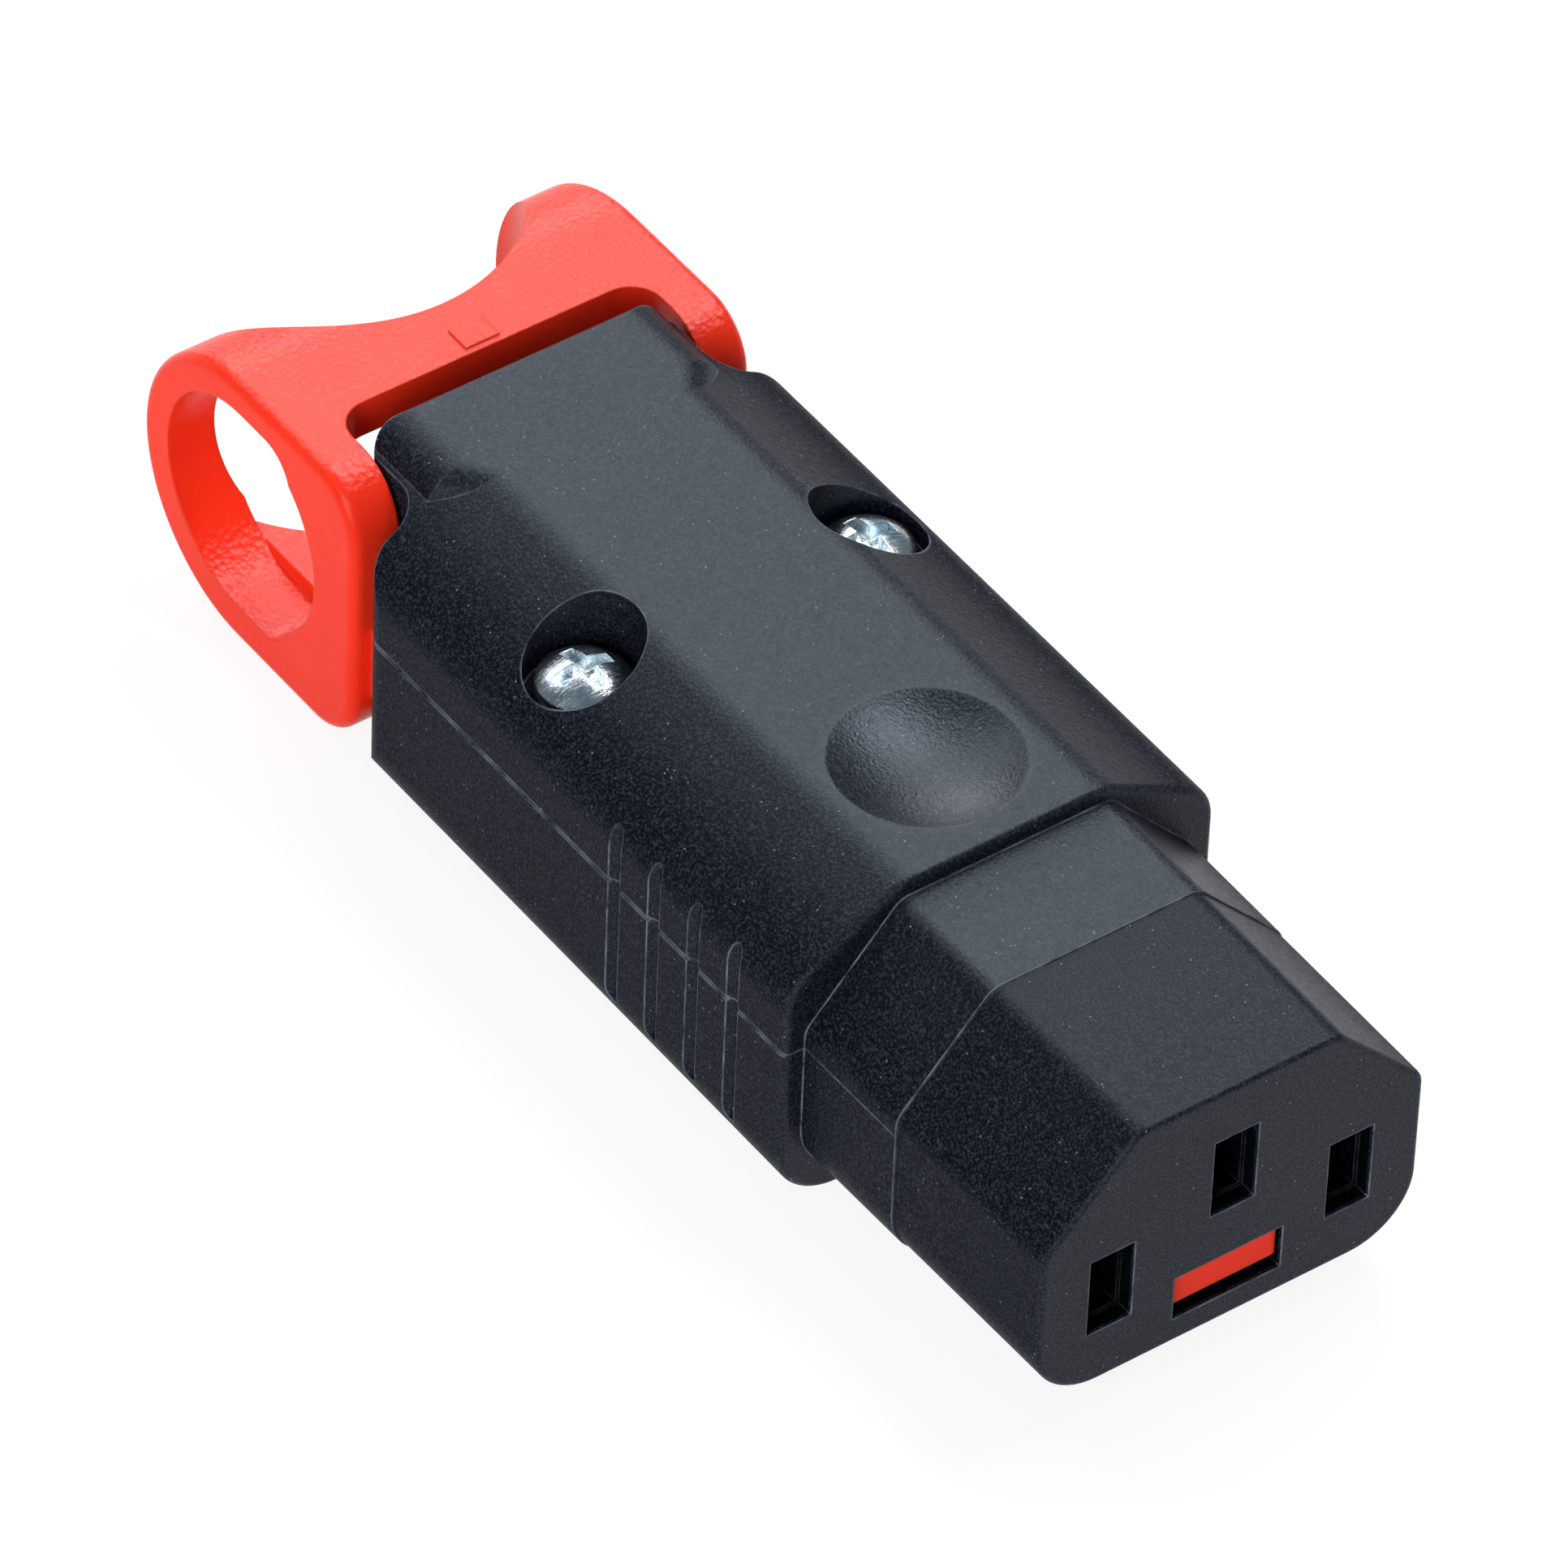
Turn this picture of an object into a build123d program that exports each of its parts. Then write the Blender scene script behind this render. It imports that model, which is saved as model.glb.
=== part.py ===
from build123d import *
import os
from math import cos, radians, sin

# A rewirable locking C13 connector, in millimetres.
# X runs from the rear of the handle to the nose face, Y across and Z up from the flat base.
# The pieces are drawn with x = 0 at the nose face and moved to the middle of the base at the end.

# Housing, outside
nose_reach = 18.65
body_length = 35.7
neck_length = 4.9
body_width = 25.2
body_height = 18.2
slope_width = 6.77
slope_drop = 3.7
shoulder_step = 3.7
base_corner = 3.6
slope_corner = 3.0
crease_corner = 3.0
shoulder_round = 1.8
neck_blend = 1.8
neck_corner = 1.0
neck_top_corner = 2.7
neck_fade = 4.5
neck_edge = 0.5
rim_edge = 0.4

# Housing, inside
wall = 1.4
front_wall = 2.0
rear_wall = 1.8
parting_height = 10.33
parting_line_depth = 0.12
parting_line_height = 0.24
lip_width = 0.6
lip_height = 0.8
lip_gap = 0.1
cable_bore = 8.4
cable_height = 9.28
entry_chamfer = 0.5

# Nose
nose_width = 22.3
nose_base = 1.55
nose_top = 17.0
nose_flat = 11.74
nose_chamfer_height = 11.45
nose_base_corner = 3.7
nose_corner = 1.2
nose_draft = 0.2
nose_edge = 0.3
insert_reach = 11.4
collar_wall = 1.0
collar_fit = 0.1
collar_step = 0.08

# Pins and slots
contact_height = 7.35
pin_pitch = 14.0
earth_rise = 4.0
slot_width = 2.6
slot_height = 4.87
slot_lead = 1.0
slot_step = 0.2
face_thickness = 3.45
window_width = 6.36
window_height = 2.72
window_base = 3.12

# Contact sockets
cavity_width = 4.3
cavity_height = 5.7
contact_gap = 0.15
contact_sheet = 0.4
contact_length = 12.4
finger_sheet = 0.3
finger_bow = 0.75
finger_height = 3.6
finger_inset = 1.24
strip_width = 2.6
strip_sheet = 0.5

# Terminals
tail_end = 34.0
terminal_place = 27.5
block_length = 5.0
block_width = 4.1
block_height = 5.4
block_floor = 1.0
block_window_height = 2.4
block_window_width = 2.8
terminal_screw = 2.5
terminal_head = 3.8
terminal_head_height = 1.3
terminal_lift = 0.5
running_fit = 0.05
tray_height = 11.2
tray_wall = 0.8

# Flange that holds the insert behind the front wall
flange_length = 2.0
flange_reach = 0.75
seat_gap = 0.2

# Lock plate on the earth pin
lock_pivot_reach = 8.0
lock_sheet = 0.8
lock_width = 6.0
lock_pivot_height = 15.1
lock_tip_height = 6.7
lock_tilt = 13.0
lock_slot_gap = 0.15
lock_cavity_front = 2.6
lock_cavity_rear = 9.6
lock_cavity_width = 6.6
lock_cavity_top = 15.55
earth_pin_width = 2.0
earth_pin_height = 4.0

# Handle travel and running gaps
travel = 3.0
slide_gap = 0.3

# Release slider
tongue_width = 6.0
tongue_sheet = 1.85
tongue_setback = 0.3
window_headroom = 0.14
lug_length = 1.2
lug_width = 3.2
lug_height = 1.8
lug_clearance = 0.2
slider_sheet = 1.8
slider_width = 10.6
slider_slot = 7.8
slider_bar = 3.6
joggle_reach = 35.5
joggle_length = 2.0

# Handle
handle_inset = 0.75
handle_base = 0.1
ring_height = 16.85
ring_length = 18.6
ring_thickness = 3.5
ring_corner = 3.3
hole_radius = 6.45
hole_rise = 0.3
hole_advance = 0.3
hole_corner = 2.2
hole_edge = 0.3
block_depth = 5.6
block_thickness = 2.65
handle_gap = 1.55
top_bridge = 2.25
bottom_bridge = 3.0
bridge_front = 7.45
bridge_corner = 1.8
saddle_radius = 9.5
saddle_overhang = 0.6
handle_edge = 0.6
pad_width = 2.0
pad_length = 1.55
pad_setback = 0.35
pad_rise = 0.12
arm_thickness = 1.5
arm_height = 4.5
arm_gap = 0.2
peg_length = 1.2
peg_width = 0.9
peg_gap = 0.1

# Handle springs
spring_wire = 0.5
spring_outside = 3.0
spring_turns = 5.0
spring_spacing = 3.8
spring_seat = 0.9
spring_reserve = 1.45

# Lock spring
lock_spring_wire = 0.3
lock_spring_outside = 2.1
lock_spring_turns = 2.5

# Cover screws
screw_setback = 12.95
screw_inset = 4.2
well_radius = 3.0
well_depth = 4.5
well_wall = 1.0
screw_diameter = 2.9
screw_length = 9.6
head_diameter = 4.8
head_height = 2.2
head_dome = 1.0
head_recess = 1.0
recess_width = 0.75
recess_length = 3.0
lower_boss = 2.7

# Cord clamp
clamp_setback = 2.75
clamp_length = 2.8
clamp_height = 2.0
clamp_crown = 0.8
clamp_screw_spacing = 11.6
clamp_end = 1.3
clamp_screw = 2.0
clamp_screw_length = 6.0
clamp_head = 3.2
clamp_head_height = 1.2
clamp_head_dome = 0.5
pocket_gap = 0.4

# Round finger mark on the top
mark_reach = 25.05
mark_radius = 4.85
mark_depth = 1.0
mark_round = 0.25
mark_margin = 0.9
mark_backing = 0.9

# Grip grooves on the sides
groove_first = 22.95
groove_pitch = 3.25
groove_count = 4
groove_radius = 0.5
groove_depth = 0.36
groove_base = 3.0

# How far a cutting tool runs past the surface that it opens
beyond = 1.0

# Places along the length, from the nose face back
joint_x = -insert_reach
rim_x = -nose_reach
shoulder_x = rim_x - body_length
neck_x = shoulder_x - neck_length
chamber_front_x = rim_x - front_wall
chamber_rear_x = shoulder_x + rear_wall
tail_x = -tail_end
terminal_x = -terminal_place
screw_x = shoulder_x + screw_setback
clamp_x = neck_x + clamp_setback
block_front_x = shoulder_x - handle_gap
block_rear_x = block_front_x - block_depth
bridge_front_x = shoulder_x - bridge_front
handle_rear_x = block_front_x - ring_length
saddle_x = handle_rear_x - saddle_overhang

# Widths
top_flat = body_width - 2 * slope_width
neck_width = body_width - 2 * shoulder_step
handle_width = body_width - 2 * handle_inset
screw_spacing = body_width - 2 * screw_inset

# Heights
shoulder_height = body_height - slope_drop
well_floor = body_height - well_depth
floor_height = wall
roof_height = body_height - wall
earth_height = contact_height + earth_rise
slider_base = floor_height + slide_gap
slider_top = slider_base + slider_sheet
window_top = window_base + window_height
tongue_top = window_top - window_headroom
tongue_base = tongue_top - tongue_sheet
ring_middle = handle_base + ring_height / 2

# The slider's cross bar and the handle's arms that hook into it
bar_rear = chamber_rear_x + travel + slide_gap
bar_front = bar_rear + slider_bar
peg_front_x = (bar_rear + bar_front + peg_length) / 2
arm_outer = body_width / 2 - wall - slide_gap - arm_gap
arm_inner = arm_outer - arm_thickness

pole_places = [-pin_pitch / 2, pin_pitch / 2]


def section_plane(x):
    # a plane across the length: its local x is Y and its local y is Z
    return Plane(origin=(x, 0, 0), x_dir=(0, 1, 0), z_dir=(1, 0, 0))


def along_x(face, x_front, x_rear):
    return extrude(section_plane(x_rear) * face, x_front - x_rear)


def side_plane(y):
    # a plane along the side: its local x is X and its local y is Z
    return Plane(origin=(0, y, 0), x_dir=(1, 0, 0), z_dir=(0, -1, 0))


def across_y(face, y_low, y_high):
    return extrude(side_plane(y_high) * face, y_high - y_low)


def block(x_front, x_rear, y_low, y_high, z_low, z_high):
    middle = ((x_front + x_rear) / 2, (y_low + y_high) / 2, (z_low + z_high) / 2)
    return Pos(*middle) * Box(x_front - x_rear, y_high - y_low, z_high - z_low)


def post(x, y, radius, z_low, z_high):
    return Pos(x, y, (z_low + z_high) / 2) * Cylinder(radius, z_high - z_low)


def mirrored(inner, outer):
    # the same stretch of Y on the right and on the left
    return [(-outer, -inner), (inner, outer)]


def rounded_outline(points, radii):
    # a closed outline whose corners are rounded one by one
    face = make_face(Polyline(*points, close=True))
    for point, radius in zip(points, radii):
        if radius > 0:
            corner = face.vertices().sort_by_distance(point)[0]
            face = fillet(corner, radius)
    return face


# Housing

def body_outline():
    half = body_width / 2
    flat = top_flat / 2
    points = [(-half, 0), (half, 0), (half, shoulder_height)]
    points += [(flat, body_height), (-flat, body_height), (-half, shoulder_height)]
    radii = [base_corner, base_corner, slope_corner, crease_corner, crease_corner, slope_corner]
    return rounded_outline(points, radii)


def nose_outline(growth):
    half = nose_width / 2 + growth
    flat = nose_flat / 2 + growth
    base = nose_base - growth
    top = nose_top + growth
    points = [(-half, base), (half, base), (half, nose_chamfer_height)]
    points += [(flat, top), (-flat, top), (-half, nose_chamfer_height)]
    radii = [nose_base_corner, nose_base_corner, nose_corner, nose_corner, nose_corner, nose_corner]
    return rounded_outline(points, radii)


def nose_piece(x_front, x_rear, step):
    # the nose grows a little towards the rim, as the mould's draft makes it
    front_growth = step - x_front / nose_reach * nose_draft
    rear_growth = step - x_rear / nose_reach * nose_draft
    front = section_plane(x_front) * nose_outline(front_growth)
    rear = section_plane(x_rear) * nose_outline(rear_growth)
    return loft([rear, front])


def tail_outline(gap):
    return offset(nose_outline(0), -(collar_wall + gap))


def housing_plan():
    # outline from above: straight sides, shoulders, concave blends and the neck
    half = body_width / 2
    neck = neck_width / 2
    points = [(rim_x, -half), (rim_x, half), (shoulder_x, half), (shoulder_x, neck), (neck_x, neck)]
    points += [(neck_x, -neck), (shoulder_x, -neck), (shoulder_x, -half)]
    radii = [0, 0, shoulder_round, neck_blend, neck_corner, neck_corner, neck_blend, shoulder_round]
    return extrude(rounded_outline(points, radii), body_height)


def housing_side():
    # outline from the side: the neck's rear edges are rounded
    points = [(neck_x, 0), (rim_x, 0), (rim_x, body_height), (neck_x, body_height)]
    outline = rounded_outline(points, [neck_edge, 0, 0, neck_edge])
    return across_y(outline, -body_width, body_width)


def neck_outline(half):
    points = [(-half, 0), (half, 0), (half, body_height), (-half, body_height)]
    return rounded_outline(points, [0, 0, neck_top_corner, neck_top_corner])


def neck_fill():
    # the neck's full round section, which fades out under the slopes of the body
    neck = along_x(neck_outline(neck_width / 2), shoulder_x, neck_x)
    fade = loft([
        section_plane(shoulder_x) * neck_outline(neck_width / 2),
        section_plane(shoulder_x + neck_fade) * neck_outline(top_flat / 2),
    ])
    return neck + fade


def housing_outside():
    body = along_x(body_outline(), rim_x, neck_x)
    rim_edges = body.faces().sort_by(Axis.X)[-1].edges()
    body = fillet(rim_edges, rim_edge) + neck_fill()
    body = body & housing_plan() & housing_side()
    return body + nose_piece(joint_x, rim_x - front_wall / 2, collar_step)


def housing_inside():
    chamber = along_x(offset(body_outline(), -wall), chamber_front_x, chamber_rear_x)
    collar = along_x(tail_outline(0), joint_x, chamber_front_x)
    return chamber + collar


def grip_grooves():
    grooves = []
    groove_y = body_width / 2 + groove_radius - groove_depth
    for number in range(groove_count):
        x = -groove_first - number * groove_pitch
        for y in (-groove_y, groove_y):
            grooves.append(post(x, y, groove_radius, groove_base, body_height))
            grooves.append(Pos(x, y, groove_base) * Sphere(groove_radius))
    return grooves


def parting_line():
    # a fine groove that runs round the outside where the two shells meet
    low = parting_height - parting_line_height / 2
    high = parting_height + parting_line_height / 2
    half = body_width / 2
    side_low = half - parting_line_depth
    lines = []
    for right, left in mirrored(side_low, half + beyond):
        lines.append(block(rim_x + beyond, shoulder_x - beyond, right, left, low, high))
    return lines


def cable_hole():
    axis_plane = section_plane(neck_x - beyond)
    hole = extrude(axis_plane * Pos(0, cable_height) * Circle(cable_bore / 2), chamber_rear_x - neck_x + 2)
    mouth_plane = section_plane(neck_x)
    mouth = loft([
        mouth_plane * Pos(0, cable_height) * Circle(cable_bore / 2 + entry_chamfer),
        section_plane(neck_x + entry_chamfer) * Pos(0, cable_height) * Circle(cable_bore / 2),
    ])
    return hole + mouth


def arm_slots():
    # openings in the shoulders for the handle's arms
    slots = []
    for right, left in mirrored(arm_inner - slide_gap, arm_outer + slide_gap):
        slots.append(block(chamber_rear_x + beyond, shoulder_x - neck_blend, right, left,
                           slider_top - slide_gap, slider_top + arm_height + slide_gap))
    return slots


def upper_half():
    return block(beyond, neck_x - beyond, -body_width, body_width, parting_height, body_height + beyond)


def lower_half():
    return block(beyond, neck_x - beyond, -body_width, body_width, -beyond, parting_height)


def lip_bars(gap):
    # the lower shell's inner lip, which enters the upper shell
    inner = body_width / 2 - wall
    bars = []
    for right, left in mirrored(inner - gap, inner + lip_width + gap):
        bars.append(block(chamber_front_x - beyond, chamber_rear_x + beyond, right, left,
                          parting_height - lip_height, parting_height + lip_height + gap))
    return bars


def retaining_ribs(z_low, z_high):
    # stand behind the insert's flange
    inner = body_width / 2 - wall
    tail_half = nose_width / 2 - collar_wall
    front = chamber_front_x - seat_gap - flange_length - seat_gap
    ribs = []
    shell_middle = along_x(offset(body_outline(), -wall / 2), front, front - front_wall)
    for right, left in mirrored(tail_half + seat_gap, inner + wall / 2):
        ribs.append(block(front, front - front_wall, right, left, z_low, z_high) & shell_middle)
    return ribs


def clamp_pocket():
    # room in the neck for the cord clamp and its screw heads
    half = (clamp_screw_spacing + clamp_head) / 2 + pocket_gap
    front = clamp_x + clamp_length / 2 + pocket_gap
    rear = clamp_x - clamp_length / 2 - pocket_gap
    head_top = parting_height + clamp_height + clamp_head_height
    crown_top = cable_height + cable_bore / 2 + clamp_crown
    return block(front, rear, -half, half, parting_height, max(head_top, crown_top) + pocket_gap)


def mark_tool():
    # the dished mark: the underside of a ball with a rounded lip
    ball_radius = (mark_radius ** 2 + mark_depth ** 2) / (2 * mark_depth)
    ball = Pos(0, body_height - mark_depth + ball_radius) * Circle(ball_radius)
    above = Pos(0, body_height + ball_radius) * Rectangle(2 * (mark_radius + mark_margin), 2 * ball_radius)
    half_plane = Pos(ball_radius, body_height) * Rectangle(2 * ball_radius, 4 * ball_radius)
    profile = (ball & half_plane) + (above & half_plane)
    lip = profile.vertices().sort_by_distance((mark_radius, body_height))[0]
    profile = fillet(lip, mark_round)
    return Pos(-mark_reach, 0, 0) * revolve(side_plane(0) * profile, Axis.Z)


def upper_shell():
    shell = (housing_outside() & upper_half()) - housing_inside()
    backing_radius = mark_radius + mark_margin
    shell += post(-mark_reach, 0, backing_radius, roof_height - mark_backing, roof_height + wall / 2)
    for side in (-1, 1):
        y = side * screw_spacing / 2
        boss = post(screw_x, y, well_radius + well_wall, parting_height, body_height)
        shell += boss & housing_outside()
    shell -= mark_tool()
    for side in (-1, 1):
        y = side * screw_spacing / 2
        shell -= post(screw_x, y, well_radius, well_floor, body_height + beyond)
        shell -= post(screw_x, y, screw_diameter / 2 + pocket_gap / 2,
                      parting_height - beyond, well_floor + beyond)
    for rib in retaining_ribs(parting_height, nose_chamfer_height + seat_gap):
        shell += rib
    shell -= cable_hole()
    shell -= clamp_pocket()
    for bar in lip_bars(lip_gap):
        shell -= bar
    for tool in grip_grooves() + parting_line():
        shell -= tool
    return shell


def lower_shell():
    shell = (housing_outside() & lower_half()) - housing_inside()
    for bar in lip_bars(0):
        shell += bar
    for side in (-1, 1):
        y = side * screw_spacing / 2
        shell += post(screw_x, y, lower_boss, floor_height - wall / 2, parting_height)
    for rib in retaining_ribs(floor_height - wall / 2, parting_height):
        shell += rib
    shell += spring_rib()
    shell -= cable_hole()
    for side in (-1, 1):
        hole_base = well_floor - screw_length - beyond
        shell -= post(screw_x, side * screw_spacing / 2, screw_diameter / 2 + running_fit,
                      hole_base, parting_height + beyond)
        shell -= post(clamp_x, side * clamp_screw_spacing / 2, clamp_screw / 2 + running_fit,
                      parting_height - clamp_screw_length, parting_height + beyond)
    for tool in arm_slots() + grip_grooves() + parting_line():
        shell -= tool
    return shell


# Handle springs and the rib that they push from

def spring_front_x():
    return -joggle_reach - joggle_length


def spring_rear_x():
    return spring_front_x() - spring_free_length()


def spring_free_length():
    return spring_turns * spring_wire + travel + spring_reserve


def spring_axis_height():
    return slider_base + spring_outside / 2


def spring_rib():
    half = slider_slot / 2 - slide_gap
    return block(spring_rear_x(), spring_rear_x() - spring_seat, -half, half,
                 floor_height - wall / 2, slider_base + spring_outside + slide_gap)


def coil(outside, wire, turns, length):
    # a round-wire coil along X that starts at x = 0 and runs back
    mean = (outside - wire) / 2
    run = length - wire
    path = Helix(pitch=run / turns, height=run, radius=mean)
    start = Plane(origin=path @ 0, z_dir=path % 0)
    wire_body = sweep(start * Circle(wire / 2), path=path)
    return Pos(-wire / 2, 0, 0) * Rot(0, -90, 0) * wire_body


def handle_spring(side):
    spring = coil(spring_outside, spring_wire, spring_turns, spring_free_length())
    return Pos(spring_front_x(), side * spring_spacing / 2, spring_axis_height()) * spring


# Insert

def insert_outside():
    nose = nose_piece(0, joint_x, 0)
    front_edges = nose.faces().sort_by(Axis.X)[-1].edges()
    nose = fillet(front_edges, nose_edge)
    tail = along_x(tail_outline(collar_fit), joint_x + beyond, tail_x)
    flange_front = chamber_front_x - seat_gap
    flange_outline = offset(tail_outline(collar_fit), flange_reach)
    flange = along_x(flange_outline, flange_front, flange_front - flange_length)
    flange &= block(beyond, tail_x, -body_width, body_width, 0, nose_chamfer_height)
    return nose + tail + flange


def slot_cut(y, z):
    # a lead-in, then a slightly smaller throat into the cavity
    lead = block(beyond, -slot_lead, y - slot_width / 2, y + slot_width / 2,
                 z - slot_height / 2, z + slot_height / 2)
    half_width = slot_width / 2 - slot_step
    half_height = slot_height / 2 - slot_step
    throat = block(beyond, -face_thickness - beyond, y - half_width, y + half_width,
                   z - half_height, z + half_height)
    return lead + throat


def pole_cavity(y):
    # socket room, then an open tray for the terminal
    z = contact_height
    half = cavity_width / 2
    room = block(-face_thickness, tail_x - beyond, y - half, y + half,
                 z - cavity_height / 2, z + cavity_height / 2)
    tray_front = terminal_x + block_length
    tray = block(tray_front, tail_x - beyond, y - half, y + half, z, body_height)
    return room + tray


def earth_cavity():
    z = earth_height
    half = cavity_width / 2
    front = -lock_cavity_rear + beyond
    room = block(front, tail_x - beyond, -half, half, z - cavity_height / 2, z + cavity_height / 2)
    tray_front = terminal_x + block_length
    tray = block(tray_front, tail_x - beyond, -half, half, z, body_height)
    return room + tray


def lock_cavity():
    half = lock_cavity_width / 2
    return block(-lock_cavity_front, -lock_cavity_rear, -half, half, window_base, lock_cavity_top)


def slider_channel():
    half = window_width / 2
    return block(beyond, tail_x - beyond, -half, half, window_base, window_top)


def tray_openings():
    # the walls beside the terminals are lower than the nose, so that the screws can be reached
    front = terminal_x + block_length
    outer = body_width
    inner = cavity_width / 2 + tray_wall
    earth_top = tray_height + earth_rise - tray_wall
    cuts = []
    for right, left in mirrored(inner, outer):
        cuts.append(block(front, tail_x - beyond, right, left, tray_height, body_height))
    cuts.append(block(front, tail_x - beyond, -inner - beyond, inner + beyond, earth_top, body_height))
    return cuts


def front_insert():
    insert = insert_outside()
    for y in pole_places:
        insert -= slot_cut(y, contact_height)
        insert -= pole_cavity(y)
    insert -= slot_cut(0, earth_height)
    insert -= earth_cavity()
    insert -= lock_cavity()
    insert -= slider_channel()
    for cut in tray_openings():
        insert -= cut
    return insert


# Contacts

def socket(x_front):
    # a folded box with two bowed fingers that pinch the pin, drawn round the height 0
    half_width = cavity_width / 2 - contact_gap
    half_height = cavity_height / 2 - contact_gap
    outer = Rectangle(2 * half_width, 2 * half_height)
    inner = Rectangle(2 * half_width - 2 * contact_sheet, 2 * half_height - 2 * contact_sheet)
    seam = Pos(0, half_height) * Rectangle(contact_sheet, 4 * contact_sheet)
    box = along_x(outer - inner - seam, x_front, x_front - contact_length)
    back = block(x_front - contact_length + contact_sheet, x_front - contact_length,
                 -half_width + contact_sheet, half_width - contact_sheet,
                 -half_height + contact_sheet, half_height - contact_sheet)
    piece = box + back
    for side in (-1, 1):
        piece += finger(x_front, side, half_width - contact_sheet)
    return piece


def finger(x_front, side, inner_face):
    # one bowed spring finger, an arc that starts and ends on the box's wall
    length = contact_length - 2 * finger_inset
    front = x_front - finger_inset
    outer_arc = ThreePointArc(
        (front, side * inner_face),
        (front - length / 2, side * (inner_face - finger_bow)),
        (front - length, side * inner_face))
    inner_arc = ThreePointArc(
        (front - length + finger_sheet, side * inner_face),
        (front - length / 2, side * (inner_face - finger_bow + finger_sheet)),
        (front - finger_sheet, side * inner_face))
    ends = [Line(outer_arc @ 1, inner_arc @ 0), Line(inner_arc @ 1, outer_arc @ 0)]
    face = make_face([outer_arc, inner_arc] + ends)
    return extrude(Pos(0, 0, -finger_height / 2) * face, finger_height)


def strip_height():
    # underside of the strip, measured from the contact's own axis
    return -block_height / 2 + block_floor + contact_gap


def contact(x_front, y, z):
    piece = socket(x_front)
    strip_front = x_front - contact_length
    strip_rear = terminal_x - block_length / 2 - contact_sheet
    low = strip_height()
    piece += block(strip_front, strip_rear, -strip_width / 2, strip_width / 2, low, low + strip_sheet)
    return Pos(0, y, z) * piece


def line_contact():
    return contact(-face_thickness - contact_gap, pole_places[0], contact_height)


def neutral_contact():
    return contact(-face_thickness - contact_gap, pole_places[1], contact_height)


def earth_contact():
    return contact(-lock_cavity_rear - contact_gap, 0, earth_height)


# Terminals

def block_base(z):
    return z - block_height / 2 + contact_gap


def terminal_block(y, z):
    base = block_base(z)
    top = base + block_height
    piece = block(terminal_x + block_length / 2, terminal_x - block_length / 2,
                  y - block_width / 2, y + block_width / 2, base, top)
    vertical = piece.edges().filter_by(Axis.Z)
    piece = chamfer(vertical, contact_sheet / 2)
    window_low = base + block_floor
    half = block_window_width / 2
    window = block(terminal_x + block_length, terminal_x - block_length,
                   y - half, y + half, window_low, window_low + block_window_height)
    piece -= window
    piece -= post(terminal_x, y, terminal_screw / 2 + running_fit, window_low, top + beyond)
    return piece


def terminal_screw_piece(y, z):
    # a cheese-head screw with a driver slot, turned part way out
    base = block_base(z)
    top = base + block_height
    tip = base + block_floor + strip_sheet + terminal_lift
    head_low = top + contact_gap
    head_high = head_low + terminal_head_height
    piece = post(terminal_x, y, terminal_screw / 2, tip, head_low)
    piece += post(terminal_x, y, terminal_head / 2, head_low, head_high)
    piece = chamfer(piece.edges().sort_by(Axis.Z)[-1], contact_sheet / 2)
    slot_depth = terminal_head_height / 2
    piece -= block(terminal_x + terminal_head, terminal_x - terminal_head,
                   y - contact_sheet, y + contact_sheet, head_high - slot_depth, head_high + beyond)
    return piece


# Lock

def lock_plate():
    # drawn upright under its pivot, then tilted forward to the gripping position
    height = lock_pivot_height - lock_tip_height
    plate = block(lock_sheet / 2, -lock_sheet / 2, -lock_width / 2, lock_width / 2, -height, 0)
    pin_low = earth_height - earth_pin_height / 2 - lock_slot_gap - lock_pivot_height
    pin_high = earth_height + earth_pin_height / 2 + lock_slot_gap - lock_pivot_height
    half = earth_pin_width / 2 + lock_slot_gap
    plate -= block(lock_sheet, -lock_sheet, -half, half, pin_low, pin_high)
    plate = fillet(plate.edges().filter_by(Axis.X).sort_by(Axis.Z)[:2], lock_sheet)
    return Pos(-lock_pivot_reach, 0, lock_pivot_height) * Rot(0, -lock_tilt, 0) * plate


def lug_rear_x():
    # the lug meets the plate at the end of the travel
    return -lock_pivot_reach + lock_sheet / 2 + lug_clearance + travel


def lock_spring():
    height = (tongue_top + earth_height - earth_pin_height / 2) / 2
    drop = lock_pivot_height - height
    plate_rear = -lock_pivot_reach + drop * sin(radians(lock_tilt)) - lock_sheet / cos(radians(lock_tilt))
    length = lock_cavity_rear + plate_rear - slide_gap / 2
    spring = coil(lock_spring_outside, lock_spring_wire, lock_spring_turns, length)
    return Pos(plate_rear, 0, height) * spring


# Release slider

def release_slider():
    tongue_half = tongue_width / 2
    slider_half = slider_width / 2
    slot_half = slider_slot / 2
    joggle_x = -joggle_reach
    joggle_rear = spring_front_x()
    piece = block(-tongue_setback, joggle_rear, -tongue_half, tongue_half, tongue_base, tongue_top)
    piece += block(lug_rear_x() + lug_length, lug_rear_x(), -lug_width / 2, lug_width / 2,
                   tongue_top - tongue_sheet / 2, tongue_top + lug_height)
    piece += block(joggle_x, joggle_rear, -slider_half, slider_half, slider_base, tongue_top)
    plate = block(joggle_x, bar_front, -slider_half, slider_half, slider_base, slider_top)
    bar = along_x(offset(body_outline(), -(wall + slide_gap)), bar_front, bar_rear)
    plate += bar & block(bar_front, bar_rear, -body_width, body_width, slider_base, slider_top)
    plate -= block(joggle_rear, spring_rear_x() - spring_seat - slide_gap, -slot_half, slot_half,
                   slider_base - beyond, slider_top + beyond)
    for right, left in mirrored(arm_inner, arm_inner + peg_width):
        plate -= block(peg_front_x + peg_gap, peg_front_x - peg_length - peg_gap,
                       right - peg_gap, left + peg_gap, slider_base - beyond, slider_top + beyond)
    return piece + plate


# Handle

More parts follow.
